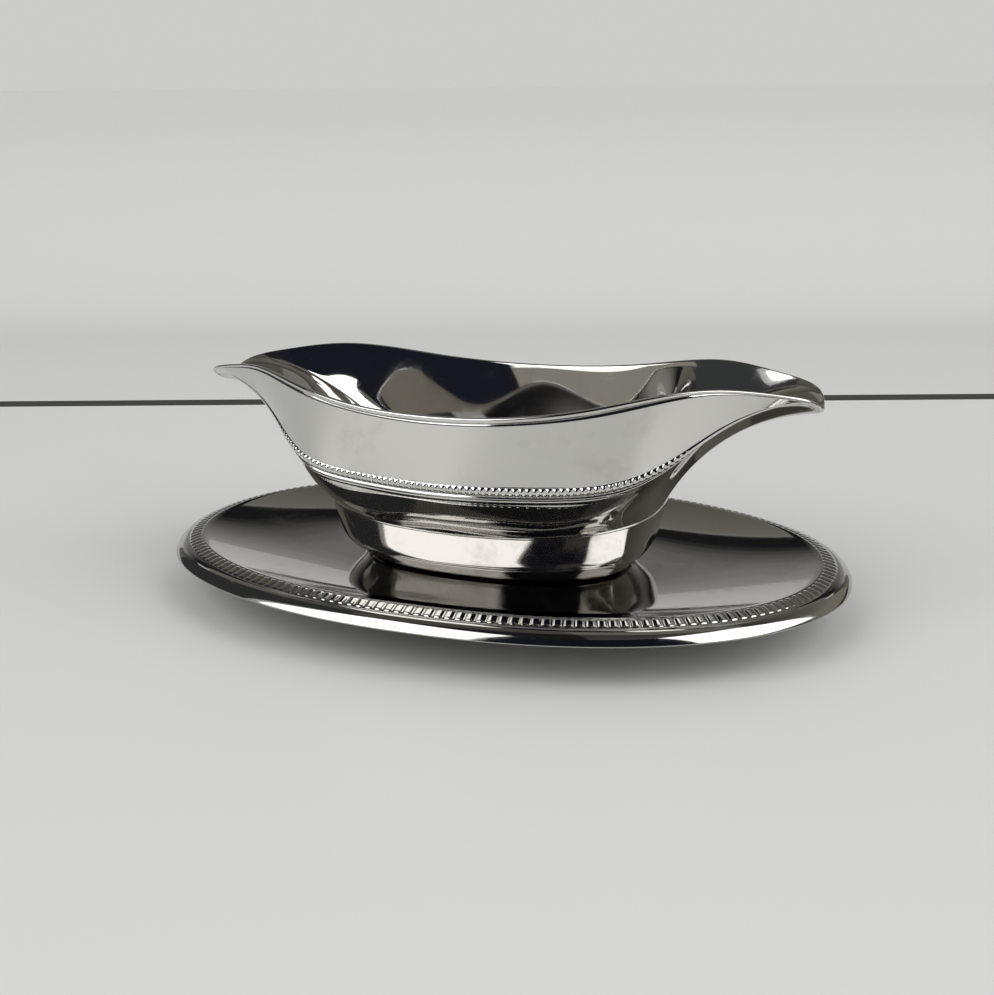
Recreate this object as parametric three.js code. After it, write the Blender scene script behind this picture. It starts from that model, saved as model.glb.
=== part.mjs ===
// Sauce boat with a pouring spout at each end, fixed on its oval underplate: pressed stainless steel.
// Millimetres, +Z up, X along the boat, Y across it. The origin is on the table, below the middle.
// The shape is the same at both ends and on both sides, so its curves are drawn for one quarter.
// A quarter runs from the middle of a long side (share 0) to the middle of a spout (share 1).
import * as THREE from 'three';

// Sheet and welds
const SHEET = 0.8;
const WELD_DIAMETER = 5;
const WELD_HEIGHT = 0.3;
const WELD_LENGTHWISE_SPACING = 36;
const WELD_CROSSWISE_SPACING = 12;

// Rim of the boat: the top of its rolled edge, at six places from the middle to the mouth
const RIM_WIDTH = 96;
const RIM_HEIGHT = 67.4;
const SHOULDER_FROM_MIDDLE = 38;
const SHOULDER_WIDTH = 86;
const SHOULDER_HEIGHT = 70.2;
const PEAK_FROM_MIDDLE = 68;
const PEAK_WIDTH = 58.2;
const PEAK_HEIGHT = 74.9;
const NECK_FROM_MIDDLE = 86;
const NECK_WIDTH = 37.8;
const NECK_HEIGHT = 73.4;
const MOUTH_CORNER_FROM_MIDDLE = 98.9;
const MOUTH_WIDTH = 21;
const MOUTH_CORNER_HEIGHT = 69.5;
const BOAT_LENGTH = 201.6;
const MOUTH_HEIGHT = 66;

// Roll of the rim, which thins out towards the spouts
const RIM_ROLL = 2.6;
const SPOUT_ROLL = 1;
const ROLL_STARTS = THREE.MathUtils.degToRad(-60);
const ROLL_SHADOW = 1.05;

// Girdle: the beaded line along the widest part, which sweeps up under both spouts to the mouths
const GIRDLE_WIDTH = 90.2;
const GIRDLE_HEIGHT = 45.3;
const GIRDLE_SIDE_FROM_MIDDLE = 30;
const GIRDLE_SIDE_WIDTH = 81.4;
const GIRDLE_SIDE_HEIGHT = 45.6;
const GIRDLE_TURN_FROM_MIDDLE = 50;
const GIRDLE_TURN_WIDTH = 72;
const GIRDLE_TURN_HEIGHT = 48.3;
const GIRDLE_RISE_FROM_MIDDLE = 62;
const GIRDLE_RISE_WIDTH = 55.2;
const GIRDLE_RISE_HEIGHT = 53.6;
const GIRDLE_SPOUT_FROM_MIDDLE = 76;
const GIRDLE_SPOUT_WIDTH = 37.2;
const GIRDLE_SPOUT_HEIGHT = 63.3;
const GIRDLE_NECK_FROM_MIDDLE = 90;
const GIRDLE_NECK_WIDTH = 27.6;
const GIRDLE_NECK_HEIGHT = 69.2;
const GIRDLE_MOUTH_FROM_MIDDLE = 97.2;
const GIRDLE_MOUTH_WIDTH = 16;
const GIRDLE_MOUTH_HEIGHT = 68.5;
const LIP_UNDERCUT = 1.4;
const LIP_UNDERCUT_DEPTH = 1;

// Half-round of the girdle, the share of it that is left at the mouths, and the turns of its facets
const GIRDLE_BAND = 2.6;
const GIRDLE_RELIEF = 0.6;
const GIRDLE_LEFT_AT_MOUTH = 0.2;
const GIRDLE_TURNS = [60, 0, -60].map(THREE.MathUtils.degToRad);

// Foot: the crease round the lower body, the heel below it and the flat base. Crease and heel rise
// towards the spouts.
const CREASE_LENGTH = 109;
const CREASE_WIDTH = 70;
const CREASE_SQUARENESS = 2.95;
const CREASE_HEIGHT = 28.4;
const CREASE_END_RISE = 4.6;
const HEEL_LENGTH = 103;
const HEEL_WIDTH = 68;
const HEEL_SQUARENESS = 2.6;
const HEEL_HEIGHT = 17.8;
const HEEL_END_RISE = 1.6;
const HEEL_ROUNDING = 3.2;
const BASE_LENGTH = 66;
const BASE_WIDTH = 30;
const BASE_SQUARENESS = 2.2;
const BASE_ROUNDING = 2;

// How the wall leaves girdle and crease, as shares of the way across and down between them
const GIRDLE_PULL_AT_SIDE = new THREE.Vector2(0, 0.45);
const GIRDLE_PULL_AT_SPOUT = new THREE.Vector2(0.54, 0.064);
const CREASE_PULL_AT_SIDE = new THREE.Vector2(0.5, 0.2);
const CREASE_PULL_AT_SPOUT = new THREE.Vector2(0.146, 0.41);

// Shares of a quarter between which the spout forms, the roll thins and the girdle fades
const SPOUT_STARTS = 0.25;
const SPOUT_FORMED = 0.95;
const ROLL_THINS_FROM = 0.3;
const ROLL_THINS_TO = 0.75;
const GIRDLE_FADES_FROM = 0.55;
const GIRDLE_FADES_TO = 0.95;

// Underplate, from its outer edge inwards
const PLATE_LENGTH = 225;
const PLATE_WIDTH = 152;
const PLATE_SQUARENESS = 2.14;
const LIP_EDGE_HEIGHT = 12.9;
const LIP_WIDTH = 4.5;
const LIP_RISE = 3.4;
const BORDER_WIDTH = 4.5;
const BORDER_RISE = 1.3;
const DISH_DROP = 5.2;
const DISH_ROUNDNESS = 1.8;

// Well in the underplate that the foot of the boat stands in
const WELL_CLEARANCE = 1.2;
const WELL_ROUNDING = 2.6;
const WELL_FLOOR_CLEARANCE = 3.5;

// Counts of facets
const QUARTER_STEPS = 18;
const TOPSIDE_ROWS = 4;
const LOWER_ROWS = 7;
const BAND_ROWS = 2;
const HEEL_ROWS = 3;
const FOOT_ROWS = 3;
const BASE_ROWS = 2;
const ROLL_ROWS = 6;
const WELL_ROWS = 5;
const DISH_ROWS = 7;
const BORDER_ROWS = 1;
const LIP_ROWS = 4;
const WELD_SIDES = 16;

// Facets crowd together towards the mouths by this power. A ring at this share of its size borders each
// flat middle, so that the flat stays flat up to its edge.
const CROWDING = 1.2;
const FLAT_RING = 0.9;

// Colours and roughness of the steel
const BOAT_COLOUR = 0xc8c7c3;
const BOAT_ROUGHNESS = 0.1;
const PLATE_COLOUR = 0xbdbcb9;
const PLATE_ROUGHNESS = 0.12;
const WELD_COLOUR = 0x9d9a94;
const WELD_ROUGHNESS = 0.5;

const FLOOR_TOP = SHEET;
const BASE_HEIGHT = FLOOR_TOP + WELD_HEIGHT;

// Plain arithmetic
const mix = (a, b, share) => a + (b - a) * share;

function easeBetween(from, to, value) {
  const t = THREE.MathUtils.clamp((value - from) / (to - from), 0, 1);
  return THREE.MathUtils.smootherstep(t, 0, 1);
}

// A cubic spline through values at rising places. Its ends are level, or free of bending.
function spline(places, values, startLevel, endLevel) {
  const last = places.length - 1;
  const gap = places.slice(1).map((place, i) => place - places[i]);
  const slope = gap.map((g, i) => (values[i + 1] - values[i]) / g);
  const upper = [];
  const right = [];
  upper[0] = startLevel ? 0.5 : 0;
  right[0] = startLevel ? (3 * slope[0]) / gap[0] : 0;
  for (let i = 1; i <= last; i += 1) {
    const before = gap[i - 1];
    const after = i < last ? gap[i] : 0;
    const atEnd = i === last;
    const pull = atEnd ? -6 * slope[i - 1] : 6 * (slope[i] - slope[i - 1]);
    const weight = 2 * (before + after);
    if (atEnd && !endLevel) {
      right[i] = 0;
      break;
    }
    const pivot = weight - before * upper[i - 1];
    upper[i] = after / pivot;
    right[i] = (pull - before * right[i - 1]) / pivot;
  }
  const bend = [];
  bend[last] = right[last];
  for (let i = last - 1; i >= 0; i -= 1) {
    bend[i] = right[i] - upper[i] * bend[i + 1];
  }
  return (place) => {
    let i = 0;
    while (i < last - 1 && place > places[i + 1]) i += 1;
    const a = (places[i + 1] - place) / gap[i];
    const b = (place - places[i]) / gap[i];
    const curved = ((a ** 3 - a) * bend[i] + (b ** 3 - b) * bend[i + 1]) * (gap[i] ** 2 / 6);
    return a * values[i] + b * values[i + 1] + curved;
  };
}

// A curve through places of one quarter, each given as distance from the middle, full width and height.
// It crosses both planes of symmetry squarely, so that its four copies join without a kink.
function quarterCurve(stations) {
  const points = stations.map(([x, width, z]) => new THREE.Vector3(x, width / 2, z));
  const travelled = [0];
  for (let i = 1; i < points.length; i += 1) {
    const step = Math.hypot(points[i].x - points[i - 1].x, points[i].y - points[i - 1].y);
    travelled.push(travelled[i - 1] + step);
  }
  const shares = travelled.map((distance) => distance / travelled[travelled.length - 1]);
  const x = spline(shares, points.map((p) => p.x), false, true);
  const y = spline(shares, points.map((p) => p.y), true, false);
  const z = spline(shares, points.map((p) => p.z), true, true);
  return (share) => new THREE.Vector3(x(share), y(share), z(share));
}

// A point of an oval. Squareness 2 is an ellipse, and more makes the oval fuller at its corners.
function ovalPoint(length, width, squareness, share) {
  const turn = (share * Math.PI) / 2;
  const sum = Math.sin(turn) ** squareness + Math.abs(Math.cos(turn)) ** squareness;
  const reach = sum ** (-1 / squareness);
  const x = (length / 2) * Math.sin(turn) * reach;
  const y = (width / 2) * Math.cos(turn) * reach;
  return new THREE.Vector2(x, share === 1 ? 0 : y);
}

function ovalOutward(length, width, squareness, share) {
  const point = ovalPoint(length, width, squareness, share);
  const x = (point.x / (length / 2)) ** (squareness - 1) / (length / 2);
  const y = (point.y / (width / 2)) ** (squareness - 1) / (width / 2);
  return new THREE.Vector2(x, y).normalize();
}

// Shares of the quarter at which facets begin, closer together towards the mouth
const quarterShares = [];
for (let i = 0; i <= QUARTER_STEPS; i += 1) {
  quarterShares.push(1 - (1 - i / QUARTER_STEPS) ** CROWDING);
}

// Mirrors a row of quarter points into a full ring, anticlockwise seen from above
function fullRing(quarter) {
  const mirrored = (points, sx, sy) => points.map((p) => new THREE.Vector3(p.x * sx, p.y * sy, p.z));
  const back = [...quarter].reverse();
  return [
    ...mirrored(back, 1, 1).slice(0, -1),
    ...mirrored(quarter, -1, 1).slice(0, -1),
    ...mirrored(back, -1, -1).slice(0, -1),
    ...mirrored(quarter, 1, -1).slice(0, -1),
  ];
}

// Unit directions square to a grid of rings, on the side that the rings' outer face is
function ringNormals(rings) {
  return rings.map((ring, r) => ring.map((_, c) => {
    const above = rings[Math.max(r - 1, 0)][c];
    const below = rings[Math.min(r + 1, rings.length - 1)][c];
    const ahead = ring[(c + 1) % ring.length];
    const behind = ring[(c + ring.length - 1) % ring.length];
    const down = below.clone().sub(above);
    return down.cross(ahead.clone().sub(behind)).normalize();
  }));
}

function shifted(rings, normals, distance) {
  return rings.map((ring, r) => ring.map((p, c) => p.clone().addScaledVector(normals[r][c], distance)));
}

// A closed skin over rings that start near one pole and end near the other
function closedSkin(firstPole, rings, lastPole) {
  const count = rings[0].length;
  const points = [firstPole, ...rings.flat(), lastPole];
  const corner = (r, c) => 1 + r * count + (c % count);
  const triangles = [];
  for (let c = 0; c < count; c += 1) {
    triangles.push(0, corner(0, c + 1), corner(0, c));
    for (let r = 0; r + 1 < rings.length; r += 1) {
      triangles.push(corner(r, c), corner(r, c + 1), corner(r + 1, c));
      triangles.push(corner(r, c + 1), corner(r + 1, c + 1), corner(r + 1, c));
    }
    triangles.push(corner(rings.length - 1, c), corner(rings.length - 1, c + 1), points.length - 1);
  }
  const geometry = new THREE.BufferGeometry();
  geometry.setAttribute('position', new THREE.Float32BufferAttribute(points.flatMap((p) => p.toArray()), 3));
  geometry.setIndex(triangles);
  return geometry;
}

// The two guiding curves of the boat
const rimCurve = quarterCurve([
  [0, RIM_WIDTH, RIM_HEIGHT],
  [SHOULDER_FROM_MIDDLE, SHOULDER_WIDTH, SHOULDER_HEIGHT],
  [PEAK_FROM_MIDDLE, PEAK_WIDTH, PEAK_HEIGHT],
  [NECK_FROM_MIDDLE, NECK_WIDTH, NECK_HEIGHT],
  [MOUTH_CORNER_FROM_MIDDLE, MOUTH_WIDTH, MOUTH_CORNER_HEIGHT],
  [BOAT_LENGTH / 2, 0, MOUTH_HEIGHT],
]);
const girdleCurve = quarterCurve([
  [0, GIRDLE_WIDTH, GIRDLE_HEIGHT],
  [GIRDLE_SIDE_FROM_MIDDLE, GIRDLE_SIDE_WIDTH, GIRDLE_SIDE_HEIGHT],
  [GIRDLE_TURN_FROM_MIDDLE, GIRDLE_TURN_WIDTH, GIRDLE_TURN_HEIGHT],
  [GIRDLE_RISE_FROM_MIDDLE, GIRDLE_RISE_WIDTH, GIRDLE_RISE_HEIGHT],
  [GIRDLE_SPOUT_FROM_MIDDLE, GIRDLE_SPOUT_WIDTH, GIRDLE_SPOUT_HEIGHT],
  [GIRDLE_NECK_FROM_MIDDLE, GIRDLE_NECK_WIDTH, GIRDLE_NECK_HEIGHT],
  [GIRDLE_MOUTH_FROM_MIDDLE, GIRDLE_MOUTH_WIDTH, GIRDLE_MOUTH_HEIGHT],
  [BOAT_LENGTH / 2 - LIP_UNDERCUT, 0, MOUTH_HEIGHT - LIP_UNDERCUT_DEPTH],
]);

// Radius of the rolled edge of the rim
function rollRadius(share) {
  return mix(RIM_ROLL, SPOUT_ROLL, easeBetween(ROLL_THINS_FROM, ROLL_THINS_TO, share)) / 2;
}

// Outer face of the upper wall, from the middle of the rolled edge down to the girdle
function topsidePoint(share, down) {
  const rim = rimCurve(share);
  const girdle = girdleCurve(share);
  const upward = rim.clone().sub(girdle).normalize();
  return rim.addScaledVector(upward, -rollRadius(share)).lerp(girdle, down);
}

// The three ovals of the foot
function creasePoint(share) {
  const { x, y } = ovalPoint(CREASE_LENGTH, CREASE_WIDTH, CREASE_SQUARENESS, share);
  return new THREE.Vector3(x, y, CREASE_HEIGHT + CREASE_END_RISE * (x / (CREASE_LENGTH / 2)) ** 2);
}

function heelPoint(share) {
  const { x, y } = ovalPoint(HEEL_LENGTH, HEEL_WIDTH, HEEL_SQUARENESS, share);
  return new THREE.Vector3(x, y, HEEL_HEIGHT + HEEL_END_RISE * (x / (HEEL_LENGTH / 2)) ** 2);
}

function basePoint(share) {
  const { x, y } = ovalPoint(BASE_LENGTH, BASE_WIDTH, BASE_SQUARENESS, share);
  return new THREE.Vector3(x, y, BASE_HEIGHT);
}

// Outer face between girdle and crease. It falls steeply from the girdle and leans in to the crease,
// and under the spouts it starts nearly level.
function lowerPoint(share, down) {
  const girdle = girdleCurve(share);
  const crease = creasePoint(share);
  const across = girdle.clone().sub(crease);
  const spout = easeBetween(SPOUT_STARTS, SPOUT_FORMED, share);
  const girdlePull = GIRDLE_PULL_AT_SIDE.clone().lerp(GIRDLE_PULL_AT_SPOUT, spout);
  const creasePull = CREASE_PULL_AT_SIDE.clone().lerp(CREASE_PULL_AT_SPOUT, spout);
  const part = (pull) => across.clone().multiply(new THREE.Vector3(pull.x, pull.x, pull.y));
  const leave = girdle.clone().sub(part(girdlePull));
  const arrive = crease.clone().add(part(creasePull));
  return new THREE.CubicBezierCurve3(girdle, leave, arrive, crease).getPoint(down);
}

// The point at a distance from the start on the way to the end
function towards(start, end, distance) {
  return start.clone().add(end.clone().sub(start).setLength(distance));
}

// A point on the rounding of a corner, turned by a share of it
function roundedPoint(before, corner, after, distance, turned) {
  const start = towards(corner, before, distance);
  const end = towards(corner, after, distance);
  return new THREE.QuadraticBezierCurve3(start, corner, end).getPoint(turned);
}

// Outer face of the foot: the steep band below the crease, the rounded heel, the wall that slopes in to
// the base, and the rounding of the base
function heelRounding(share, turned) {
  return roundedPoint(creasePoint(share), heelPoint(share), basePoint(share), HEEL_ROUNDING, turned);
}

function baseRounding(share, turned) {
  const centre = new THREE.Vector3(0, 0, BASE_HEIGHT);
  return roundedPoint(heelPoint(share), basePoint(share), centre, BASE_ROUNDING, turned);
}

function bandPoint(share, down) {
  return creasePoint(share).lerp(heelRounding(share, 0), down);
}

function footWallPoint(share, down) {
  return heelRounding(share, 1).lerp(baseRounding(share, 0), down);
}

// Rings of the boat's outer face, from the girdle down to the flat base
const ringOf = (pointAt) => fullRing(quarterShares.map(pointAt));
const columnShares = ringOf((share) => new THREE.Vector3(share, 0, 0)).map((p) => Math.abs(p.x));

// The rings of a face that is made of zones, each given as its point function and its count of rows
function zoneRings(zones) {
  const rings = [];
  for (const [pointAt, rows] of zones) {
    for (let i = 1; i <= rows; i += 1) {
      rings.push(ringOf((share) => pointAt(share, i / rows)));
    }
  }
  return rings;
}

// A ring in its own plane, made smaller round the middle
function smallerRing(ring) {
  return ring.map((p) => new THREE.Vector3(p.x * FLAT_RING, p.y * FLAT_RING, p.z));
}

function ringsBelowGirdle() {
  const rings = zoneRings([
    [lowerPoint, LOWER_ROWS],
    [bandPoint, BAND_ROWS],
    [heelRounding, HEEL_ROWS],
    [footWallPoint, FOOT_ROWS],
    [baseRounding, BASE_ROWS],
  ]);
  return [...rings, smallerRing(rings[rings.length - 1])];
}

// One drawn sheet: outer face, rolled rim and inner face
function boatShell() {
  const topside = [];
  for (let i = 0; i <= TOPSIDE_ROWS; i += 1) {
    topside.push(ringOf((share) => topsidePoint(share, i / TOPSIDE_ROWS)));
  }
  const below = ringsBelowGirdle();
  const reference = [...topside, ...below];
  const normals = ringNormals(reference);
  const inner = shifted(reference, normals, -SHEET);

  const [rollLine] = topside;
  const girdleLine = topside[TOPSIDE_ROWS];
  const girdleNormals = normals[TOPSIDE_ROWS];
  const fade = columnShares.map((share) => 1 - easeBetween(GIRDLE_FADES_FROM, GIRDLE_FADES_TO, share));
  const bandReach = fade.map((f) => mix(GIRDLE_LEFT_AT_MOUTH, 1, f) * (GIRDLE_BAND / 2));
  const bandRise = fade.map((f) => mix(GIRDLE_LEFT_AT_MOUTH, 1, f) * GIRDLE_RELIEF);
  const wallHeight = rollLine.map((p, c) => p.distanceTo(girdleLine[c]));
  const upward = rollLine.map((p, c) => p.clone().sub(girdleLine[c]).normalize());
  const downward = below[0].map((p, c) => p.clone().sub(girdleLine[c]).normalize());

  const roll = [];
  for (let i = 0; i < ROLL_ROWS; i += 1) {
    const turn = mix(ROLL_STARTS, Math.PI, i / ROLL_ROWS);
    roll.push(rollLine.map((p, c) => {
      const radius = rollRadius(columnShares[c]);
      return p.clone()
        .addScaledVector(normals[0][c], radius * (1 + Math.cos(turn)) - SHEET)
        .addScaledVector(upward[c], radius * Math.sin(turn));
    }));
  }
  const wall = [];
  for (let i = 0; i <= TOPSIDE_ROWS; i += 1) {
    wall.push(rollLine.map((p, c) => {
      const first = (ROLL_SHADOW * rollRadius(columnShares[c])) / wallHeight[c];
      const last = 1 - bandReach[c] / wallHeight[c];
      return p.clone().lerp(girdleLine[c], mix(first, last, i / TOPSIDE_ROWS));
    }));
  }
  const band = GIRDLE_TURNS.map((turn) => girdleLine.map((p, c) => p.clone()
    .addScaledVector(turn < 0 ? downward[c] : upward[c], bandReach[c] * Math.abs(Math.sin(turn)))
    .addScaledVector(girdleNormals[c], bandRise[c] * Math.cos(turn))));
  const bandFoot = girdleLine.map((p, c) => p.clone().addScaledVector(downward[c], bandReach[c]));
  const outer = [...wall, ...band, bandFoot, ...below];
  const rings = [...outer.reverse(), ...roll, ...inner];
  const outerCentre = new THREE.Vector3(0, 0, BASE_HEIGHT);
  const innerCentre = new THREE.Vector3(0, 0, BASE_HEIGHT + SHEET);
  return closedSkin(outerCentre, rings, innerCentre);
}

// Underplate, drawn from its middle outwards
const lipTop = LIP_EDGE_HEIGHT + LIP_RISE;
const borderTop = lipTop + BORDER_RISE;
const wellEdgeHeight = borderTop - DISH_DROP;
const borderInset = LIP_WIDTH + BORDER_WIDTH;

function platePoint(share, inset, height) {
  const outward = ovalOutward(PLATE_LENGTH, PLATE_WIDTH, PLATE_SQUARENESS, share);
  const plan = ovalPoint(PLATE_LENGTH, PLATE_WIDTH, PLATE_SQUARENESS, share).addScaledVector(outward, -inset);
  return new THREE.Vector3(plan.x, share === 1 ? 0 : plan.y, height);
}

function lipPoint(share, outwards) {
  const turn = ((1 - outwards) * Math.PI) / 2;
  return platePoint(share, LIP_WIDTH * (1 - Math.cos(turn)), LIP_EDGE_HEIGHT + LIP_RISE * Math.sin(turn));
}

function borderPoint(share, outwards) {
  const fall = 1 - Math.cos((outwards * Math.PI) / 2);
  return platePoint(share, mix(borderInset, LIP_WIDTH, outwards), mix(borderTop, lipTop, fall));
}

function awayFromWell(share) {
  const { x, y } = ovalOutward(BASE_LENGTH, BASE_WIDTH, BASE_SQUARENESS, share);
  return new THREE.Vector3(x, y, 0);
}

// Edge of the well: the foot of the boat at that height, and the clearance round it
function wellEdgePoint(share) {
  const heel = heelPoint(share);
  const base = basePoint(share);
  const foot = heel.clone().lerp(base, (heel.z - wellEdgeHeight) / (heel.z - base.z));
  return foot.addScaledVector(awayFromWell(share), WELL_CLEARANCE);
}

// The dish is nearly level at the well and climbs more and more towards the border
function dishPoint(share, outwards) {
  const point = wellEdgePoint(share).lerp(platePoint(share, borderInset, borderTop), outwards);
  return point.setZ(mix(wellEdgeHeight, borderTop, outwards ** DISH_ROUNDNESS));
}

function wellPoint(share, outwards) {
  const away = awayFromWell(share);
  const floor = basePoint(share).setZ(FLOOR_TOP).addScaledVector(away, WELL_FLOOR_CLEARANCE);
  const edge = wellEdgePoint(share);
  const floorBend = floor.clone().addScaledVector(away, WELL_ROUNDING);
  const edgeBend = edge.clone().addScaledVector(away, -WELL_ROUNDING);
  return new THREE.CubicBezierCurve3(floor, floorBend, edgeBend, edge).getPoint(outwards);
}

function underplate() {
  const floorEdge = ringOf((share) => wellPoint(share, 0));
  const climbing = zoneRings([
    [wellPoint, WELL_ROWS],
    [dishPoint, DISH_ROWS],
    [borderPoint, BORDER_ROWS],
    [lipPoint, LIP_ROWS],
  ]);
  const top = [smallerRing(floorEdge), floorEdge, ...climbing];
  const bottom = shifted(top, ringNormals(top), -SHEET);
  const bottomCentre = new THREE.Vector3(0, 0, FLOOR_TOP - SHEET);
  return closedSkin(bottomCentre, [...bottom, ...top.reverse()], new THREE.Vector3(0, 0, FLOOR_TOP));
}

// Weld nuggets between the well floor and the base
function weldNugget() {
  const disc = new THREE.CylinderGeometry(WELD_DIAMETER / 2, WELD_DIAMETER / 2, WELD_HEIGHT, WELD_SIDES);
  return disc.rotateX(Math.PI / 2);
}

function steel(colour, roughness) {
  return new THREE.MeshStandardMaterial({ color: colour, metalness: 1, roughness });
}

function piece(name, geometry, material) {
  const mesh = new THREE.Mesh(geometry, material);
  mesh.name = name;
  return mesh;
}

const sauceBoat = new THREE.Group();
sauceBoat.add(piece('boat_shell', boatShell(), steel(BOAT_COLOUR, BOAT_ROUGHNESS)));
sauceBoat.add(piece('underplate', underplate(), steel(PLATE_COLOUR, PLATE_ROUGHNESS)));
const corners = [[1, 1], [-1, 1], [-1, -1], [1, -1]];
corners.forEach(([endwards, sidewards], i) => {
  const nugget = piece(`weld_nugget_${i + 1}`, weldNugget(), steel(WELD_COLOUR, WELD_ROUGHNESS));
  nugget.position.set(
    (endwards * WELD_LENGTHWISE_SPACING) / 2,
    (sidewards * WELD_CROSSWISE_SPACING) / 2,
    FLOOR_TOP + WELD_HEIGHT / 2,
  );
  sauceBoat.add(nugget);
});

export default sauceBoat;
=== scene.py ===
"""The looks of a two-spouted steel sauce boat on its oval underplate, in a plain pale studio.

Metres, +Z up, X along the boat. Shapes are worked out in millimetres on rings of points round the
vertical axis. A quarter runs from the middle of a long side (share 0) to the middle of a spout (share 1).
"""

import math

import bpy
import numpy as np
from mathutils import Matrix, Vector


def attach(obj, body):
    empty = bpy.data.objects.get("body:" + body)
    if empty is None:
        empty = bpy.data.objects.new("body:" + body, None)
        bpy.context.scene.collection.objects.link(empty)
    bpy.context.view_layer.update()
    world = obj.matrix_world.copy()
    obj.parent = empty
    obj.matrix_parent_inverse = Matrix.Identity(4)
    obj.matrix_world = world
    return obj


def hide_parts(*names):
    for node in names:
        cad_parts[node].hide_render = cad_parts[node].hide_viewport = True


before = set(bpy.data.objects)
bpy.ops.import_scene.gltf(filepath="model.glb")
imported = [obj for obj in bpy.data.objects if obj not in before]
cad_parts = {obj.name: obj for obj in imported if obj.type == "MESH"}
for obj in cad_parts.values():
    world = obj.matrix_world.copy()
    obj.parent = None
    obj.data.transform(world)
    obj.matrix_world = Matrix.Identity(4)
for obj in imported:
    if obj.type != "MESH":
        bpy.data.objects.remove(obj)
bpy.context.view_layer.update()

MM = 0.001
SHEET = 0.8

# Rim and girdle, as distance from the middle, full width and height
RIM_STATIONS = [
    (0, 96, 67.4),
    (38, 86, 70.2),
    (68, 58.2, 74.9),
    (86, 37.8, 73.4),
    (98.9, 21, 69.5),
    (100.8, 0, 66),
]
GIRDLE_STATIONS = [
    (0, 90.2, 45.3),
    (30, 81.4, 45.6),
    (50, 72, 48.3),
    (62, 55.2, 53.6),
    (76, 37.2, 63.3),
    (90, 27.6, 69.2),
    (97.2, 16, 68.5),
    (99.4, 0, 65),
]
RIM_ROLL = 1.8
SPOUT_ROLL = 1.0
ROLL_THINS = (0.3, 0.75)
ROLL_STARTS = math.radians(-110)
ROLL_FULLNESS = 5
ROLL_CLEARANCE = 0.15

# Ovals of the boat's foot: full length, full width, squareness, height, and how far the ends rise
CREASE = (109, 70, 2.95, 28.4, 4.6)
HEEL = (103, 68, 2.6, 17.8, 1.6)
BASE = (66, 30, 2.2, 1.1, 0)
HEEL_ROUNDING = 3.2
BASE_ROUNDING = 2
SPOUT_FORMS = (0.25, 0.95)

# How the wall leaves girdle and crease, at the side and at the spout: shares across and down
GIRDLE_PULLS = ((0, 0.45), (0.54, 0.064))
CREASE_PULLS = ((0.5, 0.2), (0.146, 0.41))

# Ornament of the wall: beads on the girdle line, a fine groove above them, and two rolls below them.
# Distances run down the wall from the girdle line.
BEADS_IN_QUARTER = 62
STEPS_IN_BEAD = 6
BEAD_HALF_HEIGHT = 1.25
BEAD_RELIEF = 0.75
BEAD_ROUNDNESS = 0.8
BEADS_FADE = (0.52, 0.66)
RIBBON_LEFT = 0.62
UPPER_GROOVE_MIDDLE = -1.4
UPPER_GROOVE_HALF = 0.3
UPPER_GROOVE_DEPTH = 0.06
LOWER_GROOVE = 0.3
FIRST_ROLL_WIDTH = 0.95
FIRST_ROLL_RELIEF = 0.3
SECOND_ROLL_MIDDLE = 2.85
SECOND_ROLL_HALF = 0.45
SECOND_ROLL_RELIEF = 0.12
ORNAMENT_FULLNESS = 0.75
ORNAMENT_FADES = (0.6, 0.97)
ORNAMENT_LEFT_AT_MOUTH = 0.2
CREASE_BEAD_HALF = 0.45
CREASE_RELIEF = 0.3

# Rows of points across the ornament, and where the plain rows of the wall begin and end between them:
# so many of its radii below the middle of the rim's roll, and so far above the girdle and the crease
ORNAMENT_ROWS = (
    -1.7, -1.45, -1.3, -1.15, -1.0, -0.8, -0.5, -0.2, 0.0, 0.2, 0.5, 0.8, 1.0, 1.15,
    1.3, 1.45, 1.55, 1.7, 1.85, 2.0, 2.15, 2.3, 2.4, 2.6, 2.85, 3.1, 3.4,
)
CREASE_ROWS = (-0.6, -0.45, -0.3, -0.15, 0.0, 0.15, 0.3, 0.45, 0.6)
PLAIN_BELOW_ROLL = 1.05
PLAIN_ABOVE_GIRDLE = 1.9
PLAIN_ABOVE_CREASE = 0.8

# Underplate, from its edge inwards
PLATE_LENGTH = 225
PLATE_WIDTH = 152
PLATE_SQUARENESS = 2.14
LIP_EDGE_HEIGHT = 12.9
LIP_WIDTH = 4.5
LIP_RISE = 3.4
LIP_FLANK = (math.radians(67), 1.8, 2.2)
BORDER_WIDTH = 4.5
BORDER_RISE = 1.3
BORDER_ROWS = (
    9.0, 8.8, 8.6, 8.4, 8.15, 7.8, 7.4, 6.9, 6.4, 6.0, 5.7, 5.45, 5.25, 5.1, 4.95, 4.8, 4.65, 4.5,
)
RIDGE_WIDTH = 0.2
DISH_DROP = 6
DISH_ROUNDNESS = 2.2
WELL_CLEARANCE = 1.2
WELL_ROUNDING = 2.6
WELL_FLOOR_CLEARANCE = 3.5
RIBS_IN_QUARTER = 47
STEPS_IN_RIB = 8
RIB_RELIEF = 0.36
RIB_FULLNESS = 0.65
RIB_STARTS = (4.6, 5.5)
RIB_ENDS = (7.9, 9)
RIB_HALF = 0.47

# Steps between rows of points, and the shares of its outline at which they cross a flat middle
WALL_STEPS = 14
LOWER_WALL_STEPS = 29
ROLL_STEPS = 18
INNER_LOWER_STEPS = 26
WELL_STEPS = 16
DISH_STEPS = 33
LIP_STEPS = 16
FLAT_SHARES = (0.97, 0.7, 0.4)

# Smoothings of the boat's inner face, and how many rows at its ends they leave alone
INNER_SMOOTHINGS = 6
INNER_ROWS_KEPT = 8

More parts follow.
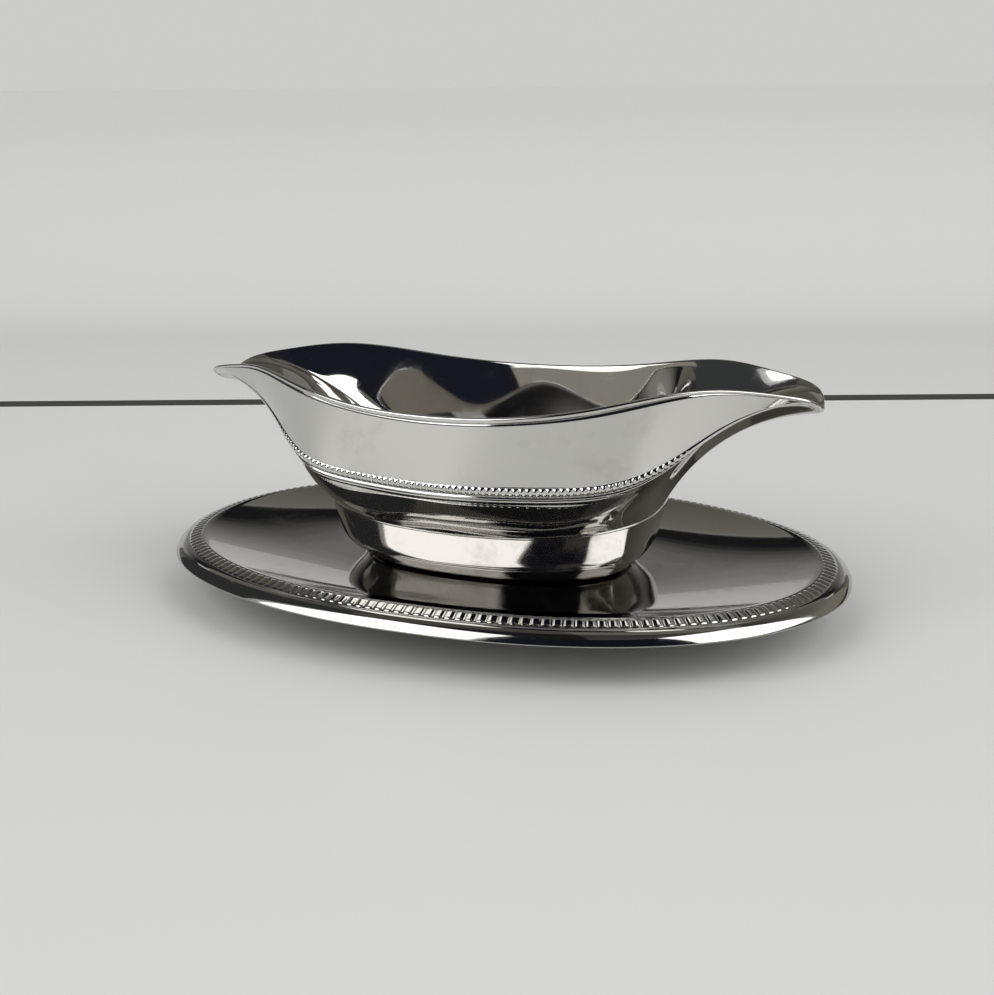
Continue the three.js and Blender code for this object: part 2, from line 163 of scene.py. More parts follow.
# Points that a mesh keeps of a row
EVERY = slice(None)
THIRD = slice(None, None, 3)
FOURTH = slice(None, None, 4)


# Plain arithmetic on arrays
def mix(a, b, share):
    return a + (b - a) * share


def ease(limits, value):
    """A smooth step from 0 to 1 between two limits."""
    t = np.clip((value - limits[0]) / (limits[1] - limits[0]), 0, 1)
    return t * t * t * (t * (t * 6 - 15) + 10)


def fractions(steps, first=1):
    """The shares at the ends of even steps, from the first step given to the last, whose share is 1."""
    return [i / steps for i in range(first, steps + 1)]


def spline(places, values, start_level, end_level):
    """A cubic spline through values at rising places. Its ends are level, or free of bending."""
    gap = np.diff(places)
    slope = np.diff(values) / gap
    last = len(places) - 1
    rows = np.zeros((last + 1, last + 1))
    right = np.zeros(last + 1)
    rows[0, 0] = rows[last, last] = 1
    if start_level:
        rows[0, :2] = 2 * gap[0], gap[0]
        right[0] = 6 * slope[0]
    if end_level:
        rows[last, last - 1:] = gap[-1], 2 * gap[-1]
        right[last] = -6 * slope[-1]
    for i in range(1, last):
        rows[i, i - 1:i + 2] = gap[i - 1], 2 * (gap[i - 1] + gap[i]), gap[i]
        right[i] = 6 * (slope[i] - slope[i - 1])
    bend = np.linalg.solve(rows, right)

    def value_at(place):
        i = np.clip(np.searchsorted(places, place) - 1, 0, last - 1)
        a = (places[i + 1] - place) / gap[i]
        b = (place - places[i]) / gap[i]
        curved = ((a**3 - a) * bend[i] + (b**3 - b) * bend[i + 1]) * gap[i] ** 2 / 6
        return a * values[i] + b * values[i + 1] + curved

    return value_at


def quarter_curve(stations):
    """A curve through the stations of a quarter that crosses both planes of symmetry squarely."""
    x, width, z = np.array(stations, float).T
    y = width / 2
    travelled = np.concatenate([[0], np.cumsum(np.hypot(np.diff(x), np.diff(y)))])
    places = travelled / travelled[-1]
    along = [spline(places, x, False, True), spline(places, y, True, False), spline(places, z, True, True)]
    return lambda share: np.stack([f(share) for f in along], -1)


def shares_at_even_steps(curve, steps, samples=4001):
    """Shares of a quarter that cut a curve into steps of equal length, found on many samples of it."""
    share = np.linspace(0, 1, samples)
    points = curve(share)
    travelled = np.concatenate([[0], np.cumsum(np.linalg.norm(np.diff(points, axis=0), axis=1))])
    return np.interp(np.linspace(0, travelled[-1], steps + 1), travelled, share)


def oval_point(length, width, squareness, share):
    """Points of an oval in plan at shares of a quarter. At squareness 2 it is an ellipse."""
    turn = share * math.pi / 2
    reach = (np.sin(turn) ** squareness + np.abs(np.cos(turn)) ** squareness) ** (-1 / squareness)
    return np.stack([length / 2 * np.sin(turn) * reach, width / 2 * np.cos(turn) * reach], -1)


def oval_outward(length, width, squareness, share):
    """Directions in plan that leave the oval squarely at the same points."""
    point = np.abs(oval_point(length, width, squareness, share))
    half = np.array([length / 2, width / 2])
    return unit((point / half) ** (squareness - 1) / half)


def flat(plan, height):
    """Points over a plan at one height, or at a height for each."""
    return np.concatenate([plan, np.broadcast_to(height, plan.shape[:-1])[..., None]], -1)


def unit(vectors):
    return vectors / np.linalg.norm(vectors, axis=-1, keepdims=True)


def towards(start, end, reach):
    """The point a reach away from the start on the way to the end."""
    return start + unit(end - start) * reach


def cubic(a, b, c, d, t):
    """A place on the curve that leaves a towards b and reaches d from c."""
    return (1 - t) ** 3 * a + 3 * (1 - t) ** 2 * t * b + 3 * (1 - t) * t**2 * c + t**3 * d


def bump(distance, half):
    """A half-round ridge of height 1 that ends in a crisp line at each side."""
    return np.clip(1 - (distance / half) ** 2, 0, None)


# Rings of points, and meshes over them
def full_ring(quarter):
    """Mirrors a row of quarter points into a ring, anticlockwise from the spout at +X."""
    back = quarter[::-1]
    parts = [(back, 1, 1), (quarter, -1, 1), (back, -1, -1), (quarter, 1, -1)]
    return np.concatenate([points[:-1] * [sx, sy, 1] for points, sx, sy in parts])


def ring_values(quarter):
    """Mirrors one value for each quarter point into values for the points of a ring."""
    back = quarter[::-1]
    return np.concatenate([back[:-1], quarter[:-1], back[:-1], quarter[:-1]])


def ring_normals(rings):
    """Directions square to the face that neighbouring rings span, at each of their points."""
    down = np.empty_like(rings)
    down[1:-1] = rings[2:] - rings[:-2]
    down[0] = rings[1] - rings[0]
    down[-1] = rings[-1] - rings[-2]
    along = np.roll(rings, -1, axis=1) - np.roll(rings, 1, axis=1)
    return unit(np.cross(down, along))


def relieved(rows):
    """Lifted rings from rows of points, relief and points kept, then the bare rings and their normals."""
    bare = np.array([full_ring(points) for points, _, _ in rows])
    normals = ring_normals(bare)
    rings = []
    for ring, normal, (points, relief, kept) in zip(bare, normals, rows):
        lift = ring_values(np.broadcast_to(relief, len(points)))
        rings.append((ring + normal * lift[:, None])[kept])
    return rings, bare, normals


def stitch(count, next_count, a, b):
    """Faces between a ring that starts at index a and the next ring, which starts at index b."""
    if count == next_count:
        turns = [(j, (j + 1) % count) for j in range(count)]
        return [(a + j, a + k, b + k, b + j) for j, k in turns]
    coarse = min(count, next_count)
    ratio = max(count, next_count) // coarse
    half = ratio // 2
    faces = []
    for j in range(coarse):
        after = (j + 1) % coarse
        fine = [(j * ratio + i) % (coarse * ratio) for i in range(ratio + 1)]
        fans = [(j, fine[i], fine[i + 1]) for i in range(half)]
        fans += [(after, fine[i], fine[i + 1]) for i in range(half, ratio)]
        if count == coarse:
            faces += [(a + c, b + q, b + p) for c, p, q in fans]
            faces.append((a + j, a + after, b + fine[half]))
        else:
            faces += [(b + c, a + p, a + q) for c, p, q in fans]
            faces.append((b + after, b + j, a + fine[half]))
    return faces


def smooth_object(name, points, faces):
    """An object in the scene with a smooth mesh, from places in metres."""
    mesh = bpy.data.meshes.new(name)
    mesh.from_pydata(points, [], faces)
    mesh.update()
    mesh.shade_smooth()
    made = bpy.data.objects.new(name, mesh)
    bpy.context.scene.collection.objects.link(made)
    return made


def skin(name, rings, first_pole, last_pole):
    """A closed skin over rings of points in millimetres. Neighbouring rings may differ in count."""
    starts = [int(start) for start in np.cumsum([1] + [len(ring) for ring in rings])]
    count = len(rings[0])
    faces = [(0, 1 + (j + 1) % count, 1 + j) for j in range(count)]
    for ring, next_ring, a, b in zip(rings, rings[1:], starts, starts[1:]):
        faces += stitch(len(ring), len(next_ring), a, b)
    count = len(rings[-1])
    start, pole = starts[-2:]
    faces += [(start + j, start + (j + 1) % count, pole) for j in range(count)]
    points = np.concatenate([[first_pole], *rings, [last_pole]]) * MM
    return smooth_object(name, points.tolist(), faces)


# The boat
rim = quarter_curve(RIM_STATIONS)
girdle = quarter_curve(GIRDLE_STATIONS)
boat_shares = shares_at_even_steps(girdle, BEADS_IN_QUARTER * STEPS_IN_BEAD)
roll_radius = mix(RIM_ROLL, SPOUT_ROLL, ease(ROLL_THINS, boat_shares)) / 2
rim_points = rim(boat_shares)
girdle_points = girdle(boat_shares)
wall_upward = unit(rim_points - girdle_points)
roll_line = rim_points - wall_upward * (roll_radius + ROLL_CLEARANCE)[:, None]
wall_height = np.linalg.norm(roll_line - girdle_points, axis=1)


def foot_oval(form, share):
    """Points of one oval of the foot, with its ends risen."""
    length, width, squareness, height, rise = form
    plan = oval_point(length, width, squareness, share)
    return flat(plan, height + rise * (plan[:, 0] / (length / 2)) ** 2)


crease, heel, base = (foot_oval(form, boat_shares) for form in (CREASE, HEEL, BASE))
centre = base * [0, 0, 1]


def rounded(before, corner, after, reach, turned):
    """A point on the rounding of a corner, turned by a share of it."""
    start = towards(corner, before, reach)
    end = towards(corner, after, reach)
    return (1 - turned) ** 2 * start + 2 * (1 - turned) * turned * corner + turned**2 * end


def lower_wall_table(samples):
    """The outer face between girdle and crease, with the way travelled down it in each column."""
    spout = ease(SPOUT_FORMS, boat_shares)[:, None]
    across = girdle_points - crease
    leave, arrive = (
        mix(np.array(at_side), np.array(at_spout), spout)[:, [0, 0, 1]]
        for at_side, at_spout in (GIRDLE_PULLS, CREASE_PULLS)
    )
    t = np.linspace(0, 1, samples)[:, None, None]
    points = cubic(girdle_points, girdle_points - across * leave, crease + across * arrive, crease, t)
    steps = np.linalg.norm(np.diff(points, axis=0), axis=2)
    return points, np.concatenate([np.zeros((1, len(boat_shares))), np.cumsum(steps, axis=0)])


lower_points, lower_travelled = lower_wall_table(samples=160)
lower_length = lower_travelled[-1]


def lower_wall(distance):
    """Points of the outer face at a distance below the girdle, measured down the wall."""
    distances = np.broadcast_to(distance, lower_length.shape)
    return np.array([
        [np.interp(d, lower_travelled[:, c], lower_points[:, c, k]) for k in range(3)]
        for c, d in enumerate(distances)
    ])


def foot_rows(band, rounding, underside):
    """Rows of the outer face from just below the crease to the middle of the base."""
    corners = [
        (crease, heel, base, HEEL_ROUNDING, band),
        (heel, base, centre, BASE_ROUNDING, underside),
    ]
    rows = []
    start = crease
    for before, corner, after, reach, straight in corners:
        end = towards(corner, before, reach)
        rows += [mix(start, end, t) for t in fractions(straight)]
        rows += [rounded(before, corner, after, reach, t) for t in fractions(rounding)]
        start = rows[-1]
    return rows + [start * [s, s, 1] for s in FLAT_SHARES]


def ornament_relief(down, beads):
    """How far the ornament stands out at a distance below the girdle line, where it has its full size."""
    row_of_beads = beads * bump(down, BEAD_HALF_HEIGHT) ** ORNAMENT_FULLNESS
    groove = UPPER_GROOVE_DEPTH * bump(down - UPPER_GROOVE_MIDDLE, UPPER_GROOVE_HALF)
    half = FIRST_ROLL_WIDTH / 2
    roll_middle = BEAD_HALF_HEIGHT + LOWER_GROOVE + half
    first_roll = FIRST_ROLL_RELIEF * bump(down - roll_middle, half) ** ORNAMENT_FULLNESS
    second_roll = SECOND_ROLL_RELIEF * bump(down - SECOND_ROLL_MIDDLE, SECOND_ROLL_HALF)
    return row_of_beads - groove + first_roll + second_roll


def outer_rows():
    """Rows of the boat's outer face from the roll down to the middle of the base."""
    size = mix(1, ORNAMENT_LEFT_AT_MOUTH, ease(ORNAMENT_FADES, boat_shares))
    steps = np.arange(len(boat_shares))
    swell = np.abs(np.sin(math.pi * steps / STEPS_IN_BEAD)) ** BEAD_ROUNDNESS
    beads = BEAD_RELIEF * mix(RIBBON_LEFT, swell, 1 - ease(BEADS_FADE, boat_shares))
    rows = []
    for t in fractions(WALL_STEPS, first=0):
        above = mix(wall_height - PLAIN_BELOW_ROLL * roll_radius, PLAIN_ABOVE_GIRDLE * size, t)
        rows.append((girdle_points + wall_upward * above[:, None], 0, THIRD))
    for down in ORNAMENT_ROWS:
        if down < 0:
            points = girdle_points - wall_upward * (down * size)[:, None]
        else:
            points = lower_wall(down * size)
        kept = EVERY if down < BEAD_HALF_HEIGHT else THIRD
        rows.append((points, ornament_relief(down, beads) * size, kept))
    for t in fractions(LOWER_WALL_STEPS):
        down = mix(ORNAMENT_ROWS[-1] * size, lower_length - PLAIN_ABOVE_CREASE, t)
        rows.append((lower_wall(down), 0, THIRD))
    for down in CREASE_ROWS:
        points = towards(crease, heel, down) if down > 0 else lower_wall(lower_length + down)
        rows.append((points, CREASE_RELIEF * bump(down, CREASE_BEAD_HALF), THIRD))
    return rows + [(points, 0, THIRD) for points in foot_rows(band=9, rounding=7, underside=9)]


def rolled_edge(outward):
    """Rings round the roll of the rim, from below its outer side over the top to the inner face."""
    radius = ring_values(roll_radius)[THIRD][:, None]
    line = full_ring(roll_line)[THIRD]
    upward = unit(line - full_ring(girdle_points)[THIRD])
    rings = []
    for t in fractions(ROLL_STEPS, first=0)[:-1]:
        turn = mix(ROLL_STARTS, math.pi, t)
        fullness = ROLL_FULLNESS if 0 < turn < math.pi / 2 else 2
        reach = (abs(math.cos(turn)) ** fullness + abs(math.sin(turn)) ** fullness) ** (-1 / fullness)
        away = outward * (radius * (1 + reach * math.cos(turn)) - SHEET)
        rings.append(line + away + upward * radius * reach * math.sin(turn))
    return rings


def inner_face():
    """Rings of the boat's inner face: the bare outer face moved in by the sheet, and smoothed."""
    rows = [mix(roll_line, girdle_points, t) for t in fractions(WALL_STEPS, first=0)]
    rows += [lower_wall(lower_length * t) for t in fractions(INNER_LOWER_STEPS)]
    rows += foot_rows(band=5, rounding=4, underside=6)
    bare = np.array([full_ring(points)[THIRD] for points in rows])
    rings = bare - ring_normals(bare) * SHEET
    kept = INNER_ROWS_KEPT
    for _ in range(INNER_SMOOTHINGS):
        smoothed = (rings[:-2] + 2 * rings[1:-1] + rings[2:]) / 4
        rings[kept:-kept] = smoothed[kept - 1:1 - kept]
    return rings


def boat_pressing():
    """One drawn sheet with a rolled rim, a beaded girdle and a creased foot."""
    outer, _, normals = relieved(outer_rows())
    rings = [*outer[::-1], *rolled_edge(normals[0][THIRD]), *inner_face()]
    return skin("boat_pressing", rings, centre[0], centre[0] + [0, 0, SHEET])


# The underplate
lip_top = LIP_EDGE_HEIGHT + LIP_RISE
border_top = lip_top + BORDER_RISE
well_edge_height = border_top - DISH_DROP


def plate_curve(inset, height):
    """The outline of the underplate, moved in by an inset and raised to a height."""

    def curve(share):
        outline = oval_point(PLATE_LENGTH, PLATE_WIDTH, PLATE_SQUARENESS, share)
        outward = oval_outward(PLATE_LENGTH, PLATE_WIDTH, PLATE_SQUARENESS, share)
        return flat(outline - outward * inset, height)

    return curve


def lip_place(t):
    """Inset and height of the lip, from its edge up a steep flank and over to its level top."""
    steepness, along_flank, along_top = LIP_FLANK
    edge = np.array([0, LIP_EDGE_HEIGHT])
    top = np.array([LIP_WIDTH, lip_top])
    flank = edge + along_flank * np.array([math.cos(steepness), math.sin(steepness)])
    return cubic(edge, flank, top - [along_top, 0], top, t)


def well_ends(shares):
    """The outlines of the well's floor and upper edge, clear of the boat's foot, and the way outwards."""
    outward = flat(oval_outward(*BASE[:3], shares), 0.0)
    boat_heel, boat_base = foot_oval(HEEL, shares), foot_oval(BASE, shares)
    down = (boat_heel[:, 2:] - well_edge_height) / (boat_heel[:, 2:] - boat_base[:, 2:])
    edge = mix(boat_heel, boat_base, down) + outward * WELL_CLEARANCE
    floor = flat(boat_base[:, :2], SHEET) + outward * WELL_FLOOR_CLEARANCE
    return floor, edge, outward


def border_rows(border_middle, shares):
    """Rows of the ribbed border from its inner edge to the lip."""
    steps = np.arange(len(shares)) / STEPS_IN_RIB
    pitch = np.linalg.norm(np.diff(border_middle(shares), axis=0), axis=1).sum() / RIBS_IN_QUARTER
    rib = bump(np.abs(steps % 1 - 0.5) * pitch, RIB_HALF * pitch) ** RIB_FULLNESS
    rows = []
    for inset in BORDER_ROWS:
        height = mix(lip_top, border_top, (inset - LIP_WIDTH) / BORDER_WIDTH)
        risen = ease(RIB_STARTS, inset) * (1 - ease(RIB_ENDS, inset))
        rows.append((plate_curve(inset, height)(shares), RIB_RELIEF * risen * rib, EVERY))
    return rows


def underplate_pressing():
    """One pressed sheet: a well, a shallow dish, a ribbed border and a turned-down lip."""
    border_middle = plate_curve(LIP_WIDTH + BORDER_WIDTH / 2, 0.0)
    shares = shares_at_even_steps(border_middle, RIBS_IN_QUARTER * STEPS_IN_RIB)
    floor, edge, outward = well_ends(shares)
    ridge = plate_curve(LIP_WIDTH + BORDER_WIDTH + RIDGE_WIDTH, border_top)(shares)
    rows = [(floor * [s, s, 1], 0, FOURTH) for s in (*FLAT_SHARES[::-1], 1)]
    bends = floor + outward * WELL_ROUNDING, edge - outward * WELL_ROUNDING
    rows += [(cubic(floor, *bends, edge, t), 0, FOURTH) for t in fractions(WELL_STEPS)]
    for t in fractions(DISH_STEPS):
        points = mix(edge, ridge, t)
        points[:, 2] = mix(well_edge_height, border_top, t**DISH_ROUNDNESS)
        rows.append((points, 0, FOURTH))
    rows += border_rows(border_middle, shares)
    for t in fractions(LIP_STEPS):
        rows.append((plate_curve(*lip_place(1 - t))(shares), 0, FOURTH))
    upper, bare, normals = relieved(rows)
    lower = [ring[FOURTH] for ring in bare - normals * SHEET]
    return skin("underplate_pressing", [*lower, *upper[::-1]], (0, 0, 0), (0, 0, SHEET))


# Finishes
class Finish:
    """A material whose nodes are added one by one, with the sizes of its patterns in millimetres."""

    def __init__(self, name):
        self.material = bpy.data.materials.new(name)
        self.material.use_nodes = True
        self.tree = self.material.node_tree
        self.surface = self.tree.nodes["Principled BSDF"]
        self.place = self.add("ShaderNodeTexCoord").outputs["Object"]

    def feed(self, socket, value):
        """Links an input to an output, or sets its value."""
        if isinstance(value, bpy.types.NodeSocket):
            self.tree.links.new(value, socket)
        else:
            socket.default_value = value

    def add(self, kind, settings=None, inputs=None):
        node = self.tree.nodes.new(kind)
        for name, value in (settings or {}).items():
            setattr(node, name, value)
        for name, value in (inputs or {}).items():
            self.feed(node.inputs[name], value)
        return node

    def noise(self, size, stretch=(1, 1, 1), turn=(0, 0, 0), detail=3, roughness=0.5, distortion=0.0):
        """Noise whose grains are about a size in millimetres across, and longer where stretched."""
        turned = self.add("ShaderNodeMapping", inputs={"Vector": self.place, "Rotation": turn})
        scale = [1 / (size * MM * s) for s in stretch]
        scaled = self.add("ShaderNodeMapping", inputs={"Vector": turned.outputs[0], "Scale": scale})
        settings = {"Vector": scaled.outputs[0], "Scale": 1.0, "Detail": detail,
                    "Roughness": roughness, "Distortion": distortion}
        return self.add("ShaderNodeTexNoise", inputs=settings).outputs["Fac"]

    def between(self, value, low, high, to_low=0.0, to_high=1.0):
        """The value from low to high, spread smoothly over another range."""
        settings = {"interpolation_type": "SMOOTHSTEP"}
        inputs = {"Value": value, "From Min": low, "From Max": high, "To Min": to_low, "To Max": to_high}
        return self.add("ShaderNodeMapRange", settings, inputs).outputs["Result"]

    def calc(self, operation, first, second):
        node = self.add("ShaderNodeMath", {"operation": operation})
        for socket, value in zip(node.inputs, (first, second)):
            self.feed(socket, value)
        return node.outputs[0]

    def blend(self, share, first, second):
        """A colour between two, through the sockets of the node that are for colours."""
        node = self.add("ShaderNodeMix", {"data_type": "RGBA"})
        for index, value in ((0, share), (6, (*first, 1)), (7, (*second, 1))):
            self.feed(node.inputs[index], value)
        return node.outputs[2]

    def bump(self, height, depth, before=None):
        """A bump of a depth in millimetres."""
        inputs = {"Height": height, "Distance": depth * MM, "Strength": 1.0}
        if before is not None:
            inputs["Normal"] = before
        return self.add("ShaderNodeBump", inputs=inputs).outputs["Normal"]

    def wire(self, **sockets):
        for name, value in sockets.items():
            self.feed(self.surface.inputs[name.replace("_", " ")], value)


# Marks on polished steel: what a film of handling does to its colour, what each mark adds to its
# roughness, and depths in millimetres
FILM_TARNISHES = 0.5
FILM_ROUGHENS = 0.07
DUST_ROUGHENS = 0.012
SCRATCHES_ROUGHEN = 0.05
SCRATCH_DEPTH = 0.0008
WAVE_DEPTH = 0.02
SMUDGE_EDGE = 0.12
SCRATCH_TURNS = ((0.3, 0.2, 0.5), (-0.5, 0.4, -0.8), (0.1, -0.7, 2.1))


def polished_steel(name, colour, tarnish, roughness, smudge_size, smudge_share):
    """Mirror-polished steel with smudges, a film of handling, hairline scratches and faint waves."""
    finish = Finish(name)
    clouds = finish.noise(smudge_size, detail=4, roughness=0.6, distortion=0.6)
    smudged = finish.between(clouds, low=1 - smudge_share, high=1 - smudge_share + SMUDGE_EDGE)
    touched = finish.between(finish.noise(size=4, detail=4), low=0.35, high=0.7)
    film = finish.calc("MULTIPLY", smudged, touched)
    dust = finish.between(finish.noise(size=1.3, detail=2), low=0.45, high=0.75)
    hairlines = [
        finish.between(finish.noise(size=0.22, stretch=(90, 1, 1), turn=turn, detail=0), low=0.68, high=0.78)
        for turn in SCRATCH_TURNS
    ]
    worn = finish.between(finish.noise(size=22, detail=2), low=0.42, high=0.66)
    all_hairlines = finish.calc("ADD", hairlines[0], finish.calc("ADD", *hairlines[1:]))
    scratched = finish.calc("MULTIPLY", worn, all_hairlines)
    handled = finish.calc("MULTIPLY", film, FILM_ROUGHENS)
    dusty = finish.calc("MULTIPLY", dust, DUST_ROUGHENS)
    scored = finish.calc("MULTIPLY", scratched, SCRATCHES_ROUGHEN)
    dull = finish.calc("ADD", handled, finish.calc("ADD", dusty, scored))
    waves = finish.bump(finish.noise(size=26, detail=1), WAVE_DEPTH)
    relief = finish.bump(finish.calc("SUBTRACT", 1.0, scratched), SCRATCH_DEPTH, before=waves)
    finish.wire(
        Metallic=1.0,
        Base_Color=finish.blend(finish.calc("MULTIPLY", film, FILM_TARNISHES), colour, tarnish),
        Roughness=finish.calc("ADD", dull, roughness),
        Normal=relief,
    )
    return finish.material


def weld_steel():
    """Dull grey welded steel with a coarse scale."""
    finish = Finish("weld steel")
    scale = finish.noise(size=0.5, detail=5, roughness=0.7)
    covered = finish.between(scale, low=0.3, high=0.7)
    finish.wire(
        Metallic=1.0,
        Base_Color=finish.blend(covered, (0.45, 0.43, 0.4), (0.3, 0.27, 0.24)),
        Roughness=finish.between(scale, low=0.3, high=0.7, to_low=0.4, to_high=0.62),
        Normal=finish.bump(scale, depth=0.05),
    )
    return finish.material


def plain(name, colour, roughness):
    finish = Finish(name)
    finish.wire(Base_Color=(*colour, 1), Roughness=roughness)
    return finish.material


def glowing(name, colour):
    finish = Finish(name)
    finish.wire(Base_Color=(0, 0, 0, 1), Roughness=1.0, Specular_IOR_Level=0.0,
                Emission_Color=(*colour, 1), Emission_Strength=1.0)
    return finish.material


# The studio: a plain pale board, a dark strip that paints the shadow in the gap between board and sweep,
# a pale sweep behind them, two windows, and cards that only reflections see, as they are set round polished
# steel. Directions in degrees start straight away from the camera and turn to its right, heights in degrees
# start level, and lengths are in metres.
BOARD_NEAR = -0.7
BOARD_EDGE = 0.318
BOARD_HALF_WIDTH = 0.55
BOARD_COLOUR = (0.6, 0.605, 0.595)
BOARD_ROUGHNESS = 0.4
# The dark strip past the board's far edge is painted shadow of the gap before the sweep
SHADOW_GAP_WIDTH = 0.018
PAINTED_SHADOW_GAP_COLOUR = (0.03, 0.03, 0.03)
SHADOW_GAP_ROUGHNESS = 0.8
SWEEP_STARTS = 0.65
SWEEP_RADIUS = 0.2
SWEEP_TOP = 0.22
SWEEP_HALF_WIDTH = 0.64
SWEEP_BEND_STEP = 6
SWEEP_COLOUR = (0.548, 0.55, 0.54)
SWEEP_ROUGHNESS = 0.9
ROOM_COLOUR = (0.6, 0.6, 0.585)
WINDOW_DISTANCE = 1.5
WINDOW_HEIGHTS = (20, 64)
WINDOWS = [
    ("right_window", (88, 147)),
    ("left_window", (211, 263)),
]
WINDOW_RADIANCE = 2.6

# Each card: its name, directions, heights, and the colours at its lowest and highest edge
CARDS = [
    ("card_dim", (-40, 40), (11, 15), (0.4, 0.4, 0.385), (0.36, 0.36, 0.345)),
    ("card_fading", (-40, 40), (15, 25), (0.36, 0.36, 0.345), (0.015, 0.015, 0.017)),
    ("card_dark", (-40, 40), (25, 29.5), (0.015, 0.015, 0.017), (0.015, 0.015, 0.017)),
    ("card_edge", (-40, 40), (29.5, 30.5), (0.28, 0.28, 0.26), (0.28, 0.28, 0.26)),
    ("card_high", (-60, 60), (30.5, 60), (0.25, 0.235, 0.205), (0.08, 0.075, 0.065)),
    ("card_ceiling_back_left", (270, 360), (60, 90), (0.13, 0.122, 0.105), (0.1, 0.095, 0.085)),
    ("card_ceiling_back_right", (0, 90), (60, 90), (0.27, 0.26, 0.235), (0.2, 0.19, 0.17)),
    ("card_ceiling_near_right", (90, 180), (60, 90), (0.1, 0.095, 0.085), (0.06, 0.056, 0.05)),
    ("card_ceiling_near_left", (180, 270), (60, 90), (0.02, 0.02, 0.022), (0.02, 0.02, 0.022)),
    ("card_beside_sweep_right", (37, 46), (-8, 25), (0.3, 0.29, 0.27), (0.03, 0.03, 0.03)),
    ("card_beside_sweep_left", (314, 323), (-8, 25), (0.26, 0.26, 0.25), (0.03, 0.03, 0.03)),
    ("card_right", (46, 90), (-8, 4), (0.05, 0.048, 0.045), (0.05, 0.048, 0.045)),
    ("card_right_middle", (46, 90), (4, 22), (0.3, 0.28, 0.24), (0.3, 0.28, 0.24)),
    ("card_right_high", (46, 88), (22, 60), (0.3, 0.28, 0.24), (0.05, 0.048, 0.045)),
    ("card_below_right_window", (90, 142), (-8, 20), (0.16, 0.15, 0.13), (0.16, 0.15, 0.13)),
    ("card_camera", (142, 210), (-8, 60), (0.012, 0.014, 0.022), (0.012, 0.014, 0.022)),
    ("card_left_low", (210, 268), (-8, 3), (0.07, 0.09, 0.12), (0.07, 0.09, 0.12)),
    ("card_left_middle", (210, 268), (3, 11.5), (0.3, 0.285, 0.25), (0.3, 0.285, 0.25)),
    ("card_left_window_foot", (211, 263), (11.5, 20), (1.6, 1.6, 1.55), (1.6, 1.6, 1.55)),
    ("card_left", (268, 314), (-8, 60), (0.05, 0.052, 0.055), (0.05, 0.052, 0.055)),
]
CARD_DISTANCE = 6.0
CARD_POINTS_ACROSS = 25
STRIP_POINTS_UP = 7
GRADED_STEP = 1.5


def in_room(aside, ahead, up):
    """A place in the room, from metres to the camera's right, away from the camera and up."""
    a = CAMERA_YAW
    return aside * math.cos(a) - ahead * math.sin(a), aside * math.sin(a) + ahead * math.cos(a), up


def in_direction(direction, height, distance):
    """A place in the room, from a direction and height in degrees and a distance."""
    turned, raised = math.radians(direction), math.radians(height)
    level = distance * math.cos(raised)
    return in_room(level * math.sin(turned), level * math.cos(turned), distance * math.sin(raised))


def stage_grid(name, rows, material):
    """A stage surface over rows of places."""
    count = len(rows[0])
    faces = [
        (r * count + c, r * count + c + 1, (r + 1) * count + c + 1, (r + 1) * count + c)
        for r in range(len(rows) - 1) for c in range(count - 1)
    ]
    made = smooth_object(name, [place for row in rows for place in row], faces)
    made.data.materials.append(material)
    return made


def board_strip(name, nearer, farther, material):
    sides = (-BOARD_HALF_WIDTH, BOARD_HALF_WIDTH)
    rows = [[in_room(aside, ahead, 0) for aside in sides] for ahead in (nearer, farther)]
    stage_grid(name, rows, material)


def sweep(material):
    """The backdrop, which leaves the board level and bends up to a wall."""
    profile = [(BOARD_EDGE + SHADOW_GAP_WIDTH, 0)]
    for angle in range(0, 91, SWEEP_BEND_STEP):
        bend = math.radians(angle)
        profile.append((SWEEP_STARTS + SWEEP_RADIUS * math.sin(bend), SWEEP_RADIUS * (1 - math.cos(bend))))
    profile.append((SWEEP_STARTS + SWEEP_RADIUS, SWEEP_TOP))
    rows = [[in_room(side * SWEEP_HALF_WIDTH, *place) for side in (-1, 1)] for place in profile]
    stage_grid("sweep", rows, material)


def card(name, directions, heights, lowest_colour, highest_colour):
    """A card that changes colour with height, in even strips that only reflections see."""
    low, high = heights
    strips = 1 if lowest_colour == highest_colour else round((high - low) / GRADED_STEP)
    across = np.linspace(*directions, CARD_POINTS_ACROSS)
    for i in range(strips):
        edges = mix(low, high, i / strips), mix(low, high, (i + 1) / strips)
        up = np.linspace(*edges, STRIP_POINTS_UP)
        rows = [[in_direction(direction, height, CARD_DISTANCE) for direction in across] for height in up]
        colour = mix(np.array(lowest_colour), np.array(highest_colour), (i + 0.5) / strips)
        made = stage_grid(f"{name}_{i}", rows, glowing(f"{name}_{i}", tuple(colour)))
        made.visible_camera = made.visible_diffuse = made.visible_shadow = False


def window(name, directions):
    """A bright upright window that fills a range of directions and heights."""
    half = math.radians(directions[1] - directions[0]) / 2
    low, high = (WINDOW_DISTANCE * math.tan(math.radians(height)) for height in WINDOW_HEIGHTS)
    light = bpy.data.lights.new(name, "AREA")
    light.shape = "RECTANGLE"
    light.size = 2 * WINDOW_DISTANCE * math.tan(half)
    light.size_y = high - low
    light.energy = WINDOW_RADIANCE * math.pi * light.size * light.size_y
    made = bpy.data.objects.new(name, light)
    bpy.context.scene.collection.objects.link(made)
    place = Vector(in_direction(sum(directions) / 2, 0, WINDOW_DISTANCE))
    made.rotation_euler = (-place).to_track_quat("-Z", "Y").to_euler()
    made.location = place + Vector((0, 0, (low + high) / 2))
    made.visible_camera = False


